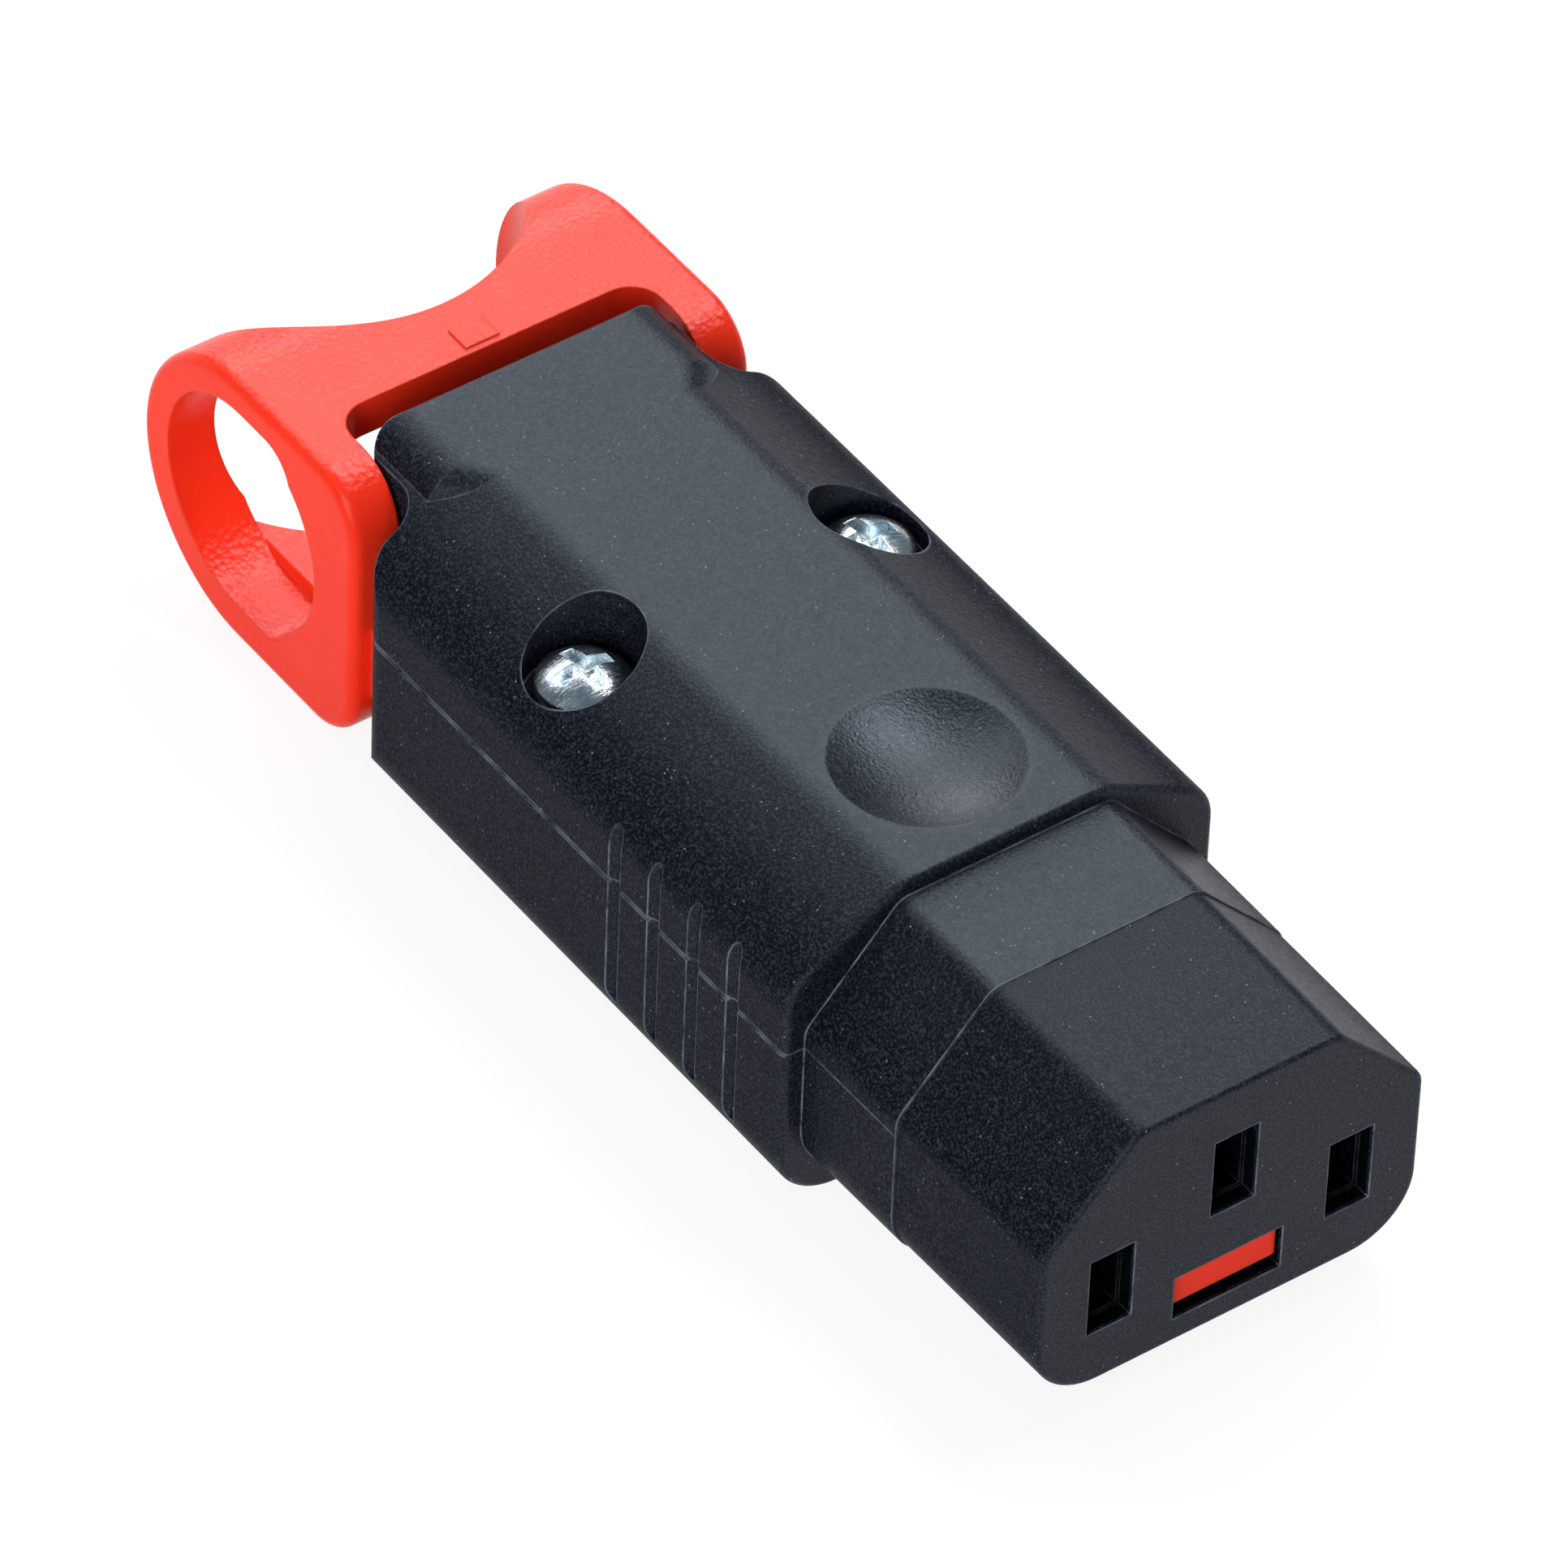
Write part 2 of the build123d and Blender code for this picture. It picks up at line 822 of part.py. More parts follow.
def ring_outline():
    # side view: a half circle at the rear, straight top and bottom, rounded front corners
    radius = ring_height / 2
    centre_x = handle_rear_x + radius
    top = handle_base + ring_height
    front = make_face(Polyline(
        (centre_x, handle_base), (block_front_x, handle_base),
        (block_front_x, top), (centre_x, top), close=True))
    for corner in ((block_front_x, handle_base), (block_front_x, top)):
        front = fillet(front.vertices().sort_by_distance(corner)[0], ring_corner)
    return front + Pos(centre_x, ring_middle) * Circle(radius)


def ring_hole():
    # the finger hole sits a little forward of the ring's middle and above it
    centre_x = handle_rear_x + ring_height / 2 + hole_advance
    middle = ring_middle + hole_rise
    low = middle - hole_radius
    high = middle + hole_radius
    front = make_face(Polyline(
        (centre_x, low), (block_rear_x, low), (block_rear_x, high), (centre_x, high), close=True))
    for corner in ((block_rear_x, low), (block_rear_x, high)):
        front = fillet(front.vertices().sort_by_distance(corner)[0], hole_corner)
    return front + Pos(centre_x, middle) * Circle(hole_radius)


def handle_plan_cuts():
    # from above: the saddle for the cord at the rear, and the room for the neck in front
    saddle = post(saddle_x, 0, saddle_radius, handle_base - beyond, body_height + beyond)
    half = handle_width / 2 - block_thickness
    neck_room = rounded_outline(
        [(bridge_front_x, -half), (block_front_x + beyond, -half),
         (block_front_x + beyond, half), (bridge_front_x, half)],
        [bridge_corner, 0, 0, bridge_corner])
    return saddle + extrude(Pos(0, 0, handle_base - beyond) * neck_room, body_height)


def handle_window():
    # the room between the two bridges, from one ring to the other
    half = handle_width / 2 - ring_thickness
    low = handle_base + bottom_bridge
    high = handle_base + ring_height - top_bridge
    return block(block_front_x + beyond, handle_rear_x - beyond, -half, half, low, high)


def mould_pad():
    # a low pad that the mould leaves in the middle of the top bridge
    top = handle_base + ring_height
    front = bridge_front_x - pad_setback
    return block(front, front - pad_length, -pad_width / 2, pad_width / 2, top - pad_rise, top + pad_rise)


def pull_handle():
    half = handle_width / 2
    handle = across_y(ring_outline(), -half, half)
    side_faces = handle.faces().sort_by(Axis.Y)
    handle = fillet(side_faces[0].edges() + side_faces[-1].edges(), handle_edge)
    handle -= handle_plan_cuts()
    handle -= handle_window()
    for right, left in mirrored(half - ring_thickness, half + beyond):
        handle -= across_y(ring_hole(), right, left)
    for side_face in (handle.faces().sort_by(Axis.Y)[0], handle.faces().sort_by(Axis.Y)[-1]):
        handle = fillet(side_face.inner_wires()[0].edges(), hole_edge)
    handle += mould_pad()
    for right, left in mirrored(arm_inner, arm_outer):
        handle += block(bar_front, block_front_x - beyond, right, left, slider_top, slider_top + arm_height)
    for right, left in mirrored(arm_inner, arm_inner + peg_width):
        handle += block(peg_front_x, peg_front_x - peg_length, right, left,
                        slider_base + peg_gap, slider_top + peg_gap)
    return handle


# Fasteners

def recess(x, y, top):
    # a cross with one long slot, as on combined-drive screws
    depth = head_recess
    long_slot = block(x + recess_length / 2, x - recess_length / 2,
                      y - recess_width / 2, y + recess_width / 2, top - depth, top + beyond)
    short_slot = block(x + recess_width / 2, x - recess_width / 2,
                       y - recess_length / 2, y + recess_length / 2, top - depth, top + beyond)
    return long_slot + short_slot


def pan_head(x, y, z, diameter, height, dome):
    # a straight side under a cap cut from a ball
    radius = diameter / 2
    ball_radius = (radius ** 2 + dome ** 2) / (2 * dome)
    head = post(x, y, radius, z, z + height)
    return head & Pos(x, y, z + height - ball_radius) * Sphere(ball_radius)


def cover_screw(side):
    y = side * screw_spacing / 2
    head = pan_head(screw_x, y, well_floor, head_diameter, head_height, head_dome)
    shank = post(screw_x, y, screw_diameter / 2, well_floor - screw_length, well_floor)
    shank = chamfer(shank.edges().sort_by(Axis.Z)[0], screw_diameter / 4)
    return head + shank - recess(screw_x, y, well_floor + head_height)


def cord_clamp():
    # a bar with an arch over the cord, loosened as the connector is sold
    x = clamp_x
    half = clamp_screw_spacing / 2 + clamp_end
    bar = block(x + clamp_length / 2, x - clamp_length / 2, -half, half,
                parting_height, parting_height + clamp_height)
    rear = section_plane(x - clamp_length / 2) * Pos(0, cable_height)
    crown = extrude(rear * Circle(cable_bore / 2 + clamp_crown), clamp_length)
    crown &= block(x + clamp_length, x - clamp_length, -half, half, parting_height, body_height)
    bar = bar + crown - extrude(rear * Circle(cable_bore / 2), clamp_length)
    for side in (-1, 1):
        bar -= post(x, side * clamp_screw_spacing / 2, clamp_screw / 2 + running_fit, 0, body_height)
    return bar


def cord_clamp_screw(side):
    x = clamp_x
    y = side * clamp_screw_spacing / 2
    seat = parting_height + clamp_height
    head = pan_head(x, y, seat, clamp_head, clamp_head_height, clamp_head_dome)
    shank = post(x, y, clamp_screw / 2, seat - clamp_screw_length, seat)
    return head + shank


pieces = {
    "upper_shell": upper_shell(),
    "lower_shell": lower_shell(),
    "front_insert": front_insert(),
    "pull_handle": pull_handle(),
    "release_slider": release_slider(),
    "handle_spring_left": handle_spring(1),
    "handle_spring_right": handle_spring(-1),
    "line_contact": line_contact(),
    "neutral_contact": neutral_contact(),
    "earth_contact": earth_contact(),
    "line_terminal_block": terminal_block(pole_places[0], contact_height),
    "neutral_terminal_block": terminal_block(pole_places[1], contact_height),
    "earth_terminal_block": terminal_block(0, earth_height),
    "line_terminal_screw": terminal_screw_piece(pole_places[0], contact_height),
    "neutral_terminal_screw": terminal_screw_piece(pole_places[1], contact_height),
    "earth_terminal_screw": terminal_screw_piece(0, earth_height),
    "lock_plate": lock_plate(),
    "lock_spring": lock_spring(),
    "cord_clamp": cord_clamp(),
    "cord_clamp_screw_left": cord_clamp_screw(1),
    "cord_clamp_screw_right": cord_clamp_screw(-1),
    "cover_screw_left": cover_screw(1),
    "cover_screw_right": cover_screw(-1),
}

os.makedirs("parts", exist_ok=True)
for name, piece in pieces.items():
    placed = Pos(-handle_rear_x / 2, 0, 0) * piece
    export_step(placed, f"parts/{name}.step")
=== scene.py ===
import bpy
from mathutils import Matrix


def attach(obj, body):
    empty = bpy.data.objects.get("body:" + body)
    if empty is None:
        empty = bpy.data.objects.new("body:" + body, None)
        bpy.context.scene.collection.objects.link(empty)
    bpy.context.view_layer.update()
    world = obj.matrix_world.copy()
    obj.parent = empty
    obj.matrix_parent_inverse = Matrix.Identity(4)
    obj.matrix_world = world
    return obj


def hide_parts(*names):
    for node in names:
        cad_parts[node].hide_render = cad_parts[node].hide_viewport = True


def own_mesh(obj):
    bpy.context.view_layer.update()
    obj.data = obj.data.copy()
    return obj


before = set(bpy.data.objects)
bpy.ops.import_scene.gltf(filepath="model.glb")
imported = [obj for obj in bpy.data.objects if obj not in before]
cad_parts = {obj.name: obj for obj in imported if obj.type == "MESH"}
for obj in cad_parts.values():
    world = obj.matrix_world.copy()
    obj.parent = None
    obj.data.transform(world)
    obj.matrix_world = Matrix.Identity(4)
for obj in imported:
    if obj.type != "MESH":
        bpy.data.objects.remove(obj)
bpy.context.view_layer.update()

import bpy
from math import cos, radians, sin
from mathutils import Matrix, Vector

print("frame loaded:", len(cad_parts), "nodes")
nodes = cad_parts
scene = bpy.context.scene
mm = 0.001


# shader building: noise scales are per metre, lengths in metres, colours linear

nodeGrid = {"left": -1800, "top": 500, "width": 220, "height": 260, "rows": 4}


class Shader:
    # keeps one material's node tree and places its nodes in columns
    def __init__(self, name):
        self.material = bpy.data.materials.new(name)
        self.material.use_nodes = True
        self.tree = self.material.node_tree
        self.surface = self.tree.nodes["Principled BSDF"]
        self.count = 0
        self.place = self.add("ShaderNodeTexCoord").outputs["Object"]

    def add(self, kind, **settings):
        node = self.tree.nodes.new(kind)
        column, row = divmod(self.count, nodeGrid["rows"])
        node.location.x = nodeGrid["left"] + nodeGrid["width"] * column
        node.location.y = nodeGrid["top"] - nodeGrid["height"] * row
        self.count += 1
        for key, value in settings.items():
            setattr(node, key, value)
        return node

    def link(self, source, node, socket):
        self.tree.links.new(source, node.inputs[socket])

    def noise(self, scale, detail=2.0, rough=0.5, vector=None):
        node = self.add("ShaderNodeTexNoise")
        node.inputs["Scale"].default_value = scale
        node.inputs["Detail"].default_value = detail
        node.inputs["Roughness"].default_value = rough
        self.link(vector or self.place, node, "Vector")
        return node.outputs["Fac"]

    def cells(self, scale):
        node = self.add("ShaderNodeTexVoronoi")
        node.inputs["Scale"].default_value = scale
        self.link(self.place, node, "Vector")
        return node.outputs["Distance"]

    def stretch(self, x, y, z):
        node = self.add("ShaderNodeMapping")
        node.inputs["Scale"].default_value = (x, y, z)
        self.link(self.place, node, "Vector")
        return node.outputs["Vector"]

    def span(self, value, low, high, toLow, toHigh, smooth=False):
        blend = "SMOOTHSTEP" if smooth else "LINEAR"
        node = self.add("ShaderNodeMapRange", interpolation_type=blend)
        limits = {"From Min": low, "From Max": high, "To Min": toLow, "To Max": toHigh}
        for socket, number in limits.items():
            node.inputs[socket].default_value = number
        self.link(value, node, "Value")
        return node.outputs["Result"]

    def math(self, operation, a, b):
        node = self.add("ShaderNodeMath", operation=operation)
        for index, value in enumerate((a, b)):
            if isinstance(value, (int, float)):
                node.inputs[index].default_value = value
            else:
                self.tree.links.new(value, node.inputs[index])
        return node.outputs[0]

    def mix(self, factor, a, b):
        node = self.add("ShaderNodeMix", data_type="RGBA")
        for socket, value in (("Factor", factor), ("A", a), ("B", b)):
            target = [i for i in node.inputs if i.name == socket and i.enabled][0]
            if isinstance(value, (int, float)):
                target.default_value = value
            elif isinstance(value, tuple):
                target.default_value = (*value, 1.0)
            else:
                self.tree.links.new(value, target)
        return [o for o in node.outputs if o.enabled][0]

    def axisOf(self, output, axis):
        node = self.add("ShaderNodeSeparateXYZ")
        self.link(output, node, "Vector")
        return node.outputs[axis]

    def facing(self, axis):
        # how far the surface faces along one of the object's own axes
        coords = self.add("ShaderNodeTexCoord")
        return self.axisOf(coords.outputs["Normal"], axis)

    def crown(self, flat, edge):
        # 1 along the middle of the back, fading to 0 at its long edges
        across = self.math("ABSOLUTE", self.axisOf(self.place, "Y"), 0.0)
        return self.span(across, flat, edge, 1.0, 0.0, smooth=True)

    def shineUpwards(self, top, side, power, mask=None):
        # specular level: full on faces that look up, little on slopes and walls
        up = self.math("POWER", self.math("MAXIMUM", self.facing(2), 0.0), power)
        if mask is not None:
            up = self.math("MULTIPLY", up, mask)
        return self.span(up, 0.0, 1.0, side, top)

    def patch(self, centre, inner, outer):
        # 1 inside a round patch on the surface, fading to 0
        node = self.add("ShaderNodeVectorMath", operation="DISTANCE")
        self.link(self.place, node, 0)
        node.inputs[1].default_value = centre
        return self.span(node.outputs["Value"], inner, outer, 1.0, 0.0, smooth=True)

    def inside(self, low, high):
        # 1 inside a box given by its lowest and highest corners, 0 outside
        inBox = None
        for axis in range(3):
            value = self.axisOf(self.place, axis)
            above = self.math("GREATER_THAN", value, low[axis])
            below = self.math("LESS_THAN", value, high[axis])
            both = self.math("MULTIPLY", above, below)
            inBox = both if inBox is None else self.math("MULTIPLY", inBox, both)
        return inBox

    def softEdges(self, radius, samples=4):
        node = self.add("ShaderNodeBevel", samples=samples)
        node.inputs["Radius"].default_value = radius
        return node.outputs["Normal"]

    def edgeMask(self, radius):
        # near 1 along edges, 0 on flat faces
        flat, turned = 0.995, 0.85
        bevel = self.softEdges(radius)
        geometry = self.add("ShaderNodeNewGeometry")
        dot = self.add("ShaderNodeVectorMath", operation="DOT_PRODUCT")
        self.tree.links.new(bevel, dot.inputs[0])
        self.tree.links.new(geometry.outputs["Normal"], dot.inputs[1])
        return self.span(dot.outputs["Value"], flat, turned, 0.0, 1.0)

    def bands(self, fac, low, high):
        # a noise's middle range, stretched between two values
        darkest, lightest = 0.3, 0.7
        return self.span(fac, darkest, lightest, low, high)

    def bump(self, height, strength, distance, normal=None):
        node = self.add("ShaderNodeBump")
        node.inputs["Strength"].default_value = strength
        node.inputs["Distance"].default_value = distance
        self.link(height, node, "Height")
        if normal is not None:
            self.link(normal, node, "Normal")
        return node.outputs["Normal"]

    def finish(self, color, rough, normal=None, **fixed):
        self.link(color, self.surface, "Base Color")
        self.link(rough, self.surface, "Roughness")
        if normal is not None:
            self.link(normal, self.surface, "Normal")
        for socket, value in fixed.items():
            self.surface.inputs[socket.replace("_", " ")].default_value = value
        return self.material


def erodedBlack(name, look):
    # black plastic from a spark-eroded mould: fine pits, pale specks, and pale edges that are
    # partly rubbed wear and partly painted highlight
    shade = Shader(name)
    grain = shade.noise(look["grain"], detail=3.0, rough=0.6)
    pits = shade.cells(look["pits"])
    cloud = shade.noise(look["cloud"], detail=3.0)
    base = shade.mix(cloud, look["dark"], look["light"])
    tone = shade.span(grain, look["grainFrom"], look["grainTo"], 0.0, look["grainTint"])
    base = shade.mix(tone, base, look["grainColor"])
    # pale bluish specks: a round speck in some of the cells
    speckCell = shade.cells(look["paleSpecks"])
    speckPick = shade.noise(look["paleSpecks"] * look["speckClumps"], detail=0.0)
    spot = shade.span(speckCell, *look["speckSpot"], 1.0, 0.0, smooth=True)
    pick = shade.span(speckPick, look["speckShare"], look["speckShare"] + look["speckFade"], 0.0, 1.0)
    paleSpecks = shade.math("MULTIPLY", shade.math("MULTIPLY", spot, pick), look["speckStrength"])
    base = shade.mix(paleSpecks, base, look["speckColor"])
    # pale edges, partly rubbed wear and partly painted highlight, stronger in some places than
    # others
    edge = shade.edgeMask(look["edgeRadius"])
    edgePatches = shade.bands(shade.noise(look["edgePatches"]), look["edgePatchLeast"], look["edgeWearAndHighlight"])
    base = shade.mix(shade.math("MULTIPLY", edge, edgePatches), base, look["edgeWearAndHighlightColor"])
    rough = shade.noise(look["grain"] * look["roughShare"])
    rough = shade.bands(rough, look["roughLow"], look["roughHigh"])
    height = shade.math("ADD", grain, shade.math("MULTIPLY", pits, look["pitShare"]))
    edges = shade.softEdges(look["edgeRadius"])
    normal = shade.bump(height, look["bump"], look["bumpDepth"], edges)
    # hands polish the back, while the sides keep their dull erosion
    crown = shade.crown(look["crownFlat"], look["crownEdge"])
    shine = shade.shineUpwards(look["specular"], look["sideSpecular"], look["shinePower"], crown)
    front = shade.math("MAXIMUM", shade.facing(0), 0.0)
    shine = shade.math("ADD", shine, shade.math("MULTIPLY", front, look["frontShine"]))
    if "cavities" in look:
        # painted shade: the slots and the window are deep, and little light comes back out of
        # them, so their colour is darkened and their shine taken away
        deep = shade.inside(*look["cavities"])
        base = shade.mix(shade.math("MULTIPLY", deep, look["paintedShadeShare"]), base, look["paintedShadeColor"])
        shine = shade.math("MULTIPLY", shine, shade.math("SUBTRACT", 1.0, deep))
    if "thumb" in look:
        thumb = shade.patch(look["thumb"], look["thumbInner"], look["thumbOuter"])
        shine = shade.math("ADD", shine, shade.math("MULTIPLY", thumb, look["thumbShine"]))
        rough = shade.math("SUBTRACT", rough, shade.math("MULTIPLY", thumb, look["thumbPolish"]))
    shade.link(shine, shade.surface, "Specular IOR Level")
    return shade.finish(base, rough, normal, Specular_Tint=(*look["sheen"], 1.0))


blackLook = {
    "dark": (0.0024, 0.0032, 0.0064), "light": (0.0046, 0.0060, 0.0108), "cloud": 140.0,
    "grain": 7000.0, "grainFrom": 0.46, "grainTo": 0.74, "grainTint": 0.85,
    "grainColor": (0.044, 0.050, 0.070), "pits": 4600.0, "pitShare": 0.5,
    "paleSpecks": 2200.0, "speckClumps": 0.31, "speckSpot": (0.05, 0.13), "speckShare": 0.56,
    "speckFade": 0.04, "speckStrength": 0.8, "speckColor": (0.26, 0.29, 0.40),
    # the pale edge colour is partly rubbed wear and partly painted highlight
    "edgeRadius": 0.00015, "edgeWearAndHighlight": 0.9, "edgeWearAndHighlightColor": (0.34, 0.37, 0.46),
    "edgePatches": 900.0, "edgePatchLeast": 0.1,
    "roughShare": 0.5, "roughLow": 0.36, "roughHigh": 0.48, "bump": 0.45, "bumpDepth": 0.00006,
    "specular": 0.36, "sideSpecular": 0.02, "shinePower": 2.0, "sheen": (0.72, 0.86, 1.0),
    "crownFlat": 0.0060, "crownEdge": 0.0112, "frontShine": 0.16,
}

housingLook = dict(
    blackLook, thumb=(0.0122, 0.0, 0.0177), thumbInner=0.0040, thumbOuter=0.0056,
    thumbShine=0.04, thumbPolish=0.12,
)

noseLook = dict(
    blackLook, grain=7600.0, bumpDepth=0.00005, roughLow=0.34, roughHigh=0.46,
    specular=0.16, sideSpecular=0.015, frontShine=0.13,
    cavities=((-0.02, -0.0092, 0.0026), (0.0370, 0.0092, 0.0130)),
    # painted shade inside the slots and the window
    paintedShadeColor=(0.0006, 0.0007, 0.001), paintedShadeShare=0.85,
)


def gripRed(name, look):
    # semi-gloss red plastic, leather-grained where it faces up and smooth elsewhere
    shade = Shader(name)
    cloud = shade.noise(look["cloud"], detail=3.0)
    base = shade.mix(cloud, look["deep"], look["bright"])
    leather = shade.cells(look["leather"])
    fine = shade.noise(look["fine"], detail=3.0, rough=0.6)
    up = shade.span(shade.facing(2), look["upFrom"], look["upTo"], 0.0, 1.0, smooth=True)
    coarse = shade.math("MULTIPLY", leather, up)
    height = shade.math("ADD", coarse, shade.math("MULTIPLY", fine, look["fineShare"]))
    # pale orange edges, partly rubbed wear and partly painted highlight
    edge = shade.edgeMask(look["edgeRadius"])
    base = shade.mix(shade.math("MULTIPLY", edge, look["edgeWearAndHighlight"]), base, look["edgeWearAndHighlightColor"])
    rough = shade.bands(fine, look["roughLow"], look["roughHigh"])
    rough = shade.math("ADD", rough, shade.math("MULTIPLY", up, look["upRough"]))
    edges = shade.softEdges(look["edgeRadius"])
    normal = shade.bump(height, look["bump"], look["bumpDepth"], edges)
    shine = shade.shineUpwards(look["specular"], look["sideSpecular"], look["shinePower"])
    shade.link(shine, shade.surface, "Specular IOR Level")
    return shade.finish(
        base, rough, normal,
        Subsurface_Weight=look["glow"], Subsurface_Radius=look["glowSpread"],
        Subsurface_Scale=look["glowDepth"],
    )


handleLook = {
    "deep": (0.84, 0.025, 0.008), "bright": (0.94, 0.042, 0.014), "cloud": 180.0,
    "leather": 3000.0, "fine": 6500.0, "fineShare": 0.3, "bump": 0.6, "bumpDepth": 0.00007,
    # the pale orange edge colour is partly rubbed wear and partly painted highlight
    "edgeRadius": 0.0002, "edgeWearAndHighlight": 0.35, "edgeWearAndHighlightColor": (0.95, 0.14, 0.06),
    "roughLow": 0.18, "roughHigh": 0.30, "upRough": 0.08, "specular": 0.36,
    "sideSpecular": 0.06, "shinePower": 2.5,
    "upFrom": 0.55, "upTo": 0.85,
    "glow": 0.12, "glowDepth": 0.001, "glowSpread": (1.0, 0.25, 0.15),
}


def metal(name, look):
    # plated or stamped metal with fine drawing lines, stains and tiny pits
    shade = Shader(name)
    drawn = shade.stretch(*look["lines"])
    lines = shade.noise(1.0, detail=3.0, rough=0.6, vector=drawn)
    stain = shade.noise(look["stain"], detail=3.0)
    stain = shade.span(stain, *look["stainSpan"], 0.0, 1.0)
    base = shade.mix(stain, look["colorA"], look["colorB"])
    dirt = shade.noise(look["dirt"], detail=4.0, rough=0.7)
    dirt = shade.span(dirt, *look["dirtSpan"], 0.0, 1.0)
    base = shade.mix(shade.math("MULTIPLY", dirt, look["dirtShare"]), base, look["dirtColor"])
    rough = shade.bands(lines, look["roughLow"], look["roughHigh"])
    pits = shade.noise(look["dirt"] * look["pitScale"], detail=3.0)
    height = shade.math("ADD", lines, shade.math("MULTIPLY", pits, look["pitShare"]))
    edges = shade.softEdges(look["edgeRadius"])
    normal = shade.bump(height, look["bump"], look["bumpDepth"], edges)
    return shade.finish(base, rough, normal, Metallic=1.0)


zincLook = {
    "colorA": (0.66, 0.82, 0.90), "colorB": (0.93, 0.95, 0.96), "stain": 900.0,
    "lines": (9000, 1500, 3000),
    "dirt": 2600.0, "dirtShare": 0.3, "dirtColor": (0.12, 0.20, 0.27),
    "stainSpan": (0.35, 0.65), "dirtSpan": (0.52, 0.75), "pitScale": 1.7, "pitShare": 0.5,
    "roughLow": 0.14, "roughHigh": 0.30, "bump": 0.6, "bumpDepth": 0.00004, "edgeRadius": 0.00012,
}
brassLook = dict(
    zincLook, colorA=(0.72, 0.50, 0.21), colorB=(0.82, 0.62, 0.30), lines=(1200, 9000, 9000),
    dirtColor=(0.28, 0.16, 0.07), roughLow=0.2, roughHigh=0.36,
)
wireLook = dict(
    zincLook, colorA=(0.50, 0.51, 0.53), colorB=(0.62, 0.62, 0.63), dirtColor=(0.16, 0.15, 0.14),
    roughLow=0.2, roughHigh=0.35,
)
hardSteelLook = dict(
    zincLook, colorA=(0.34, 0.35, 0.37), colorB=(0.46, 0.46, 0.47), lines=(9000, 9000, 900),
    dirtColor=(0.10, 0.09, 0.08), roughLow=0.28, roughHigh=0.42,
)

housingBlack = erodedBlack("erodedBlackHousing", housingLook)
noseBlack = erodedBlack("erodedBlackNose", noseLook)
handleRed = gripRed("grainedRedHandle", handleLook)
zincPlate = metal("clearZincPlate", zincLook)
stampedBrass = metal("stampedBrass", brassLook)
drawnWire = metal("drawnSpringWire", wireLook)
hardSteel = metal("groundHardSteel", hardSteelLook)

finishOf = {
    "upper_shell": housingBlack, "lower_shell": housingBlack, "cord_clamp": housingBlack,
    "front_insert": noseBlack, "pull_handle": handleRed, "release_slider": handleRed,
    "lock_plate": hardSteel,
}
for name, node in nodes.items():
    finish = finishOf.get(name)
    if finish is None and "spring" in name:
        finish = drawnWire
    elif finish is None and ("contact" in name or name.endswith("terminal_block")):
        finish = stampedBrass
    elif finish is None:
        finish = zincPlate
    node.data.materials.clear()
    node.data.materials.append(finish)
print("finishes on the CAD nodes")


# springs: each coil is a copy of its CAD node's mesh, carried by the housing, while the CAD node
# is hidden


def pressedCoil(title, nodeName):
    coil = bpy.data.objects.new(title, nodes[nodeName].data.copy())
    scene.collection.objects.link(coil)
    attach(coil, "housing")
    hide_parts(nodeName)
    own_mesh(coil)


for side in ("left", "right"):
    title = "handleCoil" + side.title()
    pressedCoil(title, "handle_spring_" + side)

pressedCoil("lockCoil", "lock_spring")


# floor, light and camera

floorLook = {
    "size": 3.0, "gap": 0.00002, "color": (0.86, 0.87, 0.88), "lift": 0.88, "diffuse": 0.14,
}


def makeFloor(look):
    # matte for the light, and at a pale level of its own where it is seen or mirrored
    half = look["size"] / 2
    mesh = bpy.data.meshes.new("paperFloor")
    corners = [(-half, -half, 0), (half, -half, 0), (half, half, 0), (-half, half, 0)]
    mesh.from_pydata(corners, [], [(0, 1, 2, 3)])
    floor = bpy.data.objects.new("paperFloor", mesh)
    floor.location.z = -look["gap"]
    scene.collection.objects.link(floor)
    material = bpy.data.materials.new("whitePaper")
    material.use_nodes = True
    tree = material.node_tree
    tree.nodes.clear()
    out = tree.nodes.new("ShaderNodeOutputMaterial")
    matte = tree.nodes.new("ShaderNodeBsdfDiffuse")
    matte.inputs["Color"].default_value = (*look["color"], 1.0)
    shown = tree.nodes.new("ShaderNodeBsdfDiffuse")
    shown.inputs["Color"].default_value = (look["diffuse"],) * 3 + (1.0,)
    glow = tree.nodes.new("ShaderNodeEmission")
    glow.inputs["Strength"].default_value = look["lift"]
    both = tree.nodes.new("ShaderNodeAddShader")
    path = tree.nodes.new("ShaderNodeLightPath")
    glossy = tree.nodes.new("ShaderNodeMath")
    glossy.operation = "MAXIMUM"
    seen = tree.nodes.new("ShaderNodeMath")
    seen.operation = "MAXIMUM"
    pick = tree.nodes.new("ShaderNodeMixShader")
    link = tree.links.new
    link(path.outputs["Is Camera Ray"], glossy.inputs[0])
    link(path.outputs["Is Glossy Ray"], glossy.inputs[1])
    link(glossy.outputs[0], seen.inputs[0])
    link(path.outputs["Is Transmission Ray"], seen.inputs[1])
    link(shown.outputs[0], both.inputs[0])
    link(glow.outputs[0], both.inputs[1])
    link(seen.outputs[0], pick.inputs[0])
    link(matte.outputs[0], pick.inputs[1])
    link(both.outputs[0], pick.inputs[2])
    link(pick.outputs[0], out.inputs["Surface"])
    mesh.materials.append(material)


makeFloor(floorLook)

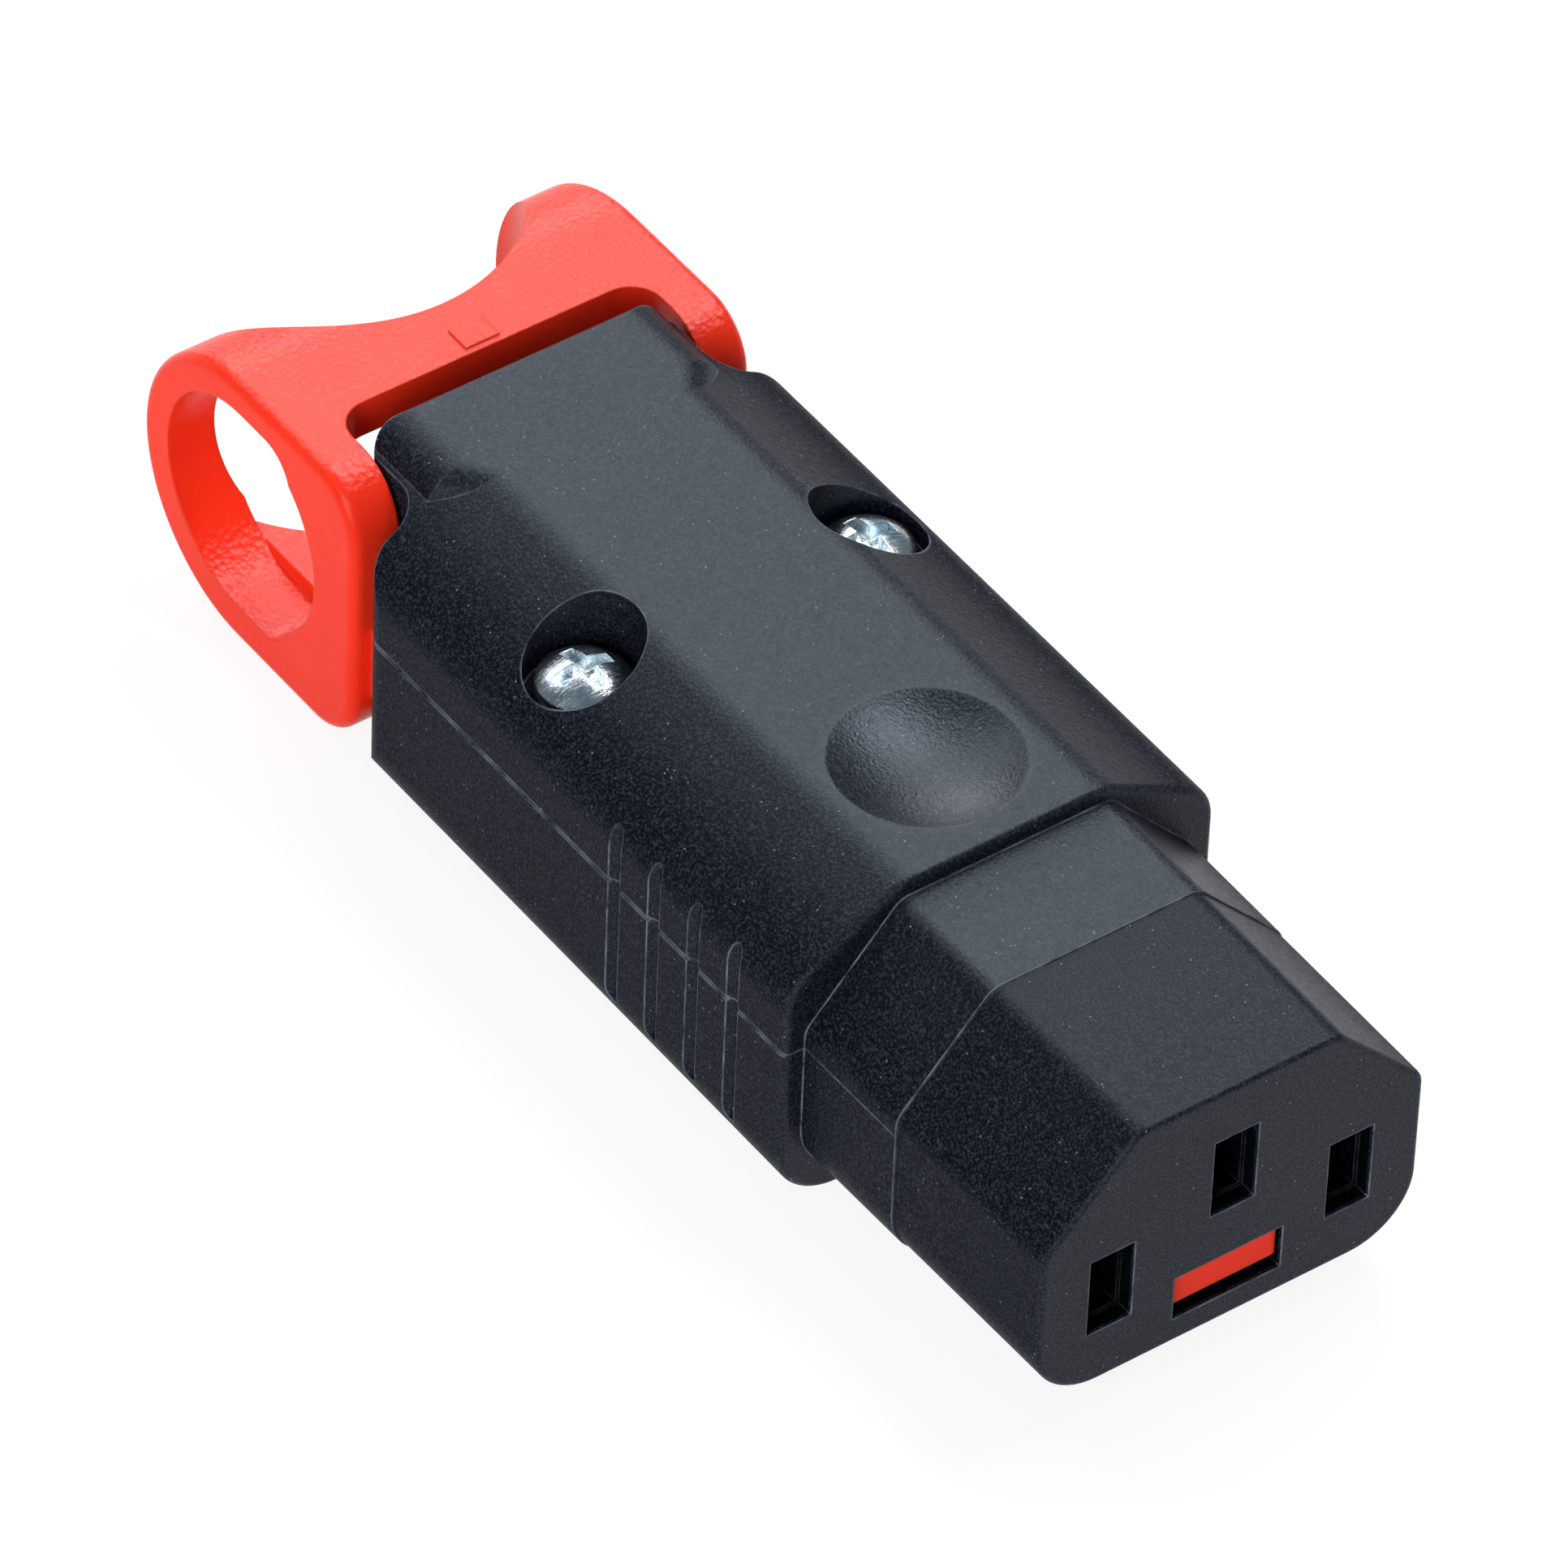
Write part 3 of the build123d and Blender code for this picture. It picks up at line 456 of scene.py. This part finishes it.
# place, aim, width, height and power of each soft box, in metres and watts
softBoxes = {
    "overhead": {
        "at": (-0.50, 0.10, 0.58), "aim": (0.0, 0.0, 0.01), "size": (0.90, 0.42), "power": 3.4,
    },
    "key": {
        "at": (-0.08, 0.30, 0.60), "aim": (0.0, 0.0, 0.01), "size": (0.40, 0.22), "power": 2.7,
    },
    "rear": {
        "at": (-0.76, 0.40, 0.33), "aim": (0.0, 0.0, 0.01), "size": (0.30, 0.24), "power": 1.3,
    },
    "side": {
        "at": (0.40, -0.64, 0.30), "aim": (-0.02, 0.0, 0.01), "size": (0.50, 0.50), "power": 4.8,
    },
}


def aimAt(thing, target):
    thing.rotation_euler = (Vector(target) - thing.location).to_track_quat("-Z", "Y").to_euler()


for name, box in softBoxes.items():
    lamp = bpy.data.lights.new(name + "SoftBox", "AREA")
    lamp.shape = "RECTANGLE"
    lamp.size, lamp.size_y = box["size"]
    lamp.energy = box["power"]
    lampObject = bpy.data.objects.new(name + "SoftBox", lamp)
    lampObject.location = box["at"]
    scene.collection.objects.link(lampObject)
    aimAt(lampObject, box["aim"])

roomLook = {"color": (0.72, 0.86, 1.0), "fill": 0.15}


def makeRoom(look):
    world = bpy.data.worlds.new("studioRoom")
    world.use_nodes = True
    fill = world.node_tree.nodes["Background"]
    fill.inputs["Color"].default_value = (*look["color"], 1.0)
    fill.inputs["Strength"].default_value = look["fill"]
    scene.world = world


makeRoom(roomLook)

# the photograph's viewpoint, from a fit to the nose corners, slots and rim,
# in degrees, millimetres and pixels
cameraLook = {
    "azimuth": 52.829, "elevation": 43.550, "roll": 2.441, "distance": 671.198,
    "slideRight": -20.996, "slideUp": 20.967, "focal": 17596.7, "frame": 1932, "sensor": 36.0,
    "origin": (37.25, 0.0, 7.35), "clipStart": 0.01,
}


def makeCamera(look):
    a, e, r = (radians(look[key]) for key in ("azimuth", "elevation", "roll"))
    back = Vector((sin(a) * cos(e), -cos(a) * cos(e), sin(e)))
    side = Vector((cos(a), sin(a), 0.0))
    upright = back.cross(side)
    right = side * cos(r) + upright * sin(r)
    up = upright * cos(r) - side * sin(r)
    place = back * look["distance"] + right * look["slideRight"] + up * look["slideUp"]
    place += Vector(look["origin"])
    camera = bpy.data.cameras.new("photoCamera")
    camera.sensor_width = look["sensor"]
    camera.lens = look["focal"] * look["sensor"] / look["frame"]
    camera.clip_start = look["clipStart"]
    camera.dof.use_dof = False
    holder = bpy.data.objects.new("photoCamera", camera)
    turn = Matrix((right, up, back)).transposed().to_4x4()
    holder.matrix_world = Matrix.Translation(place * mm) @ turn
    scene.collection.objects.link(holder)
    scene.camera = holder


makeCamera(cameraLook)
scene.view_settings.view_transform = "Standard"
print("floor, light and camera ready")
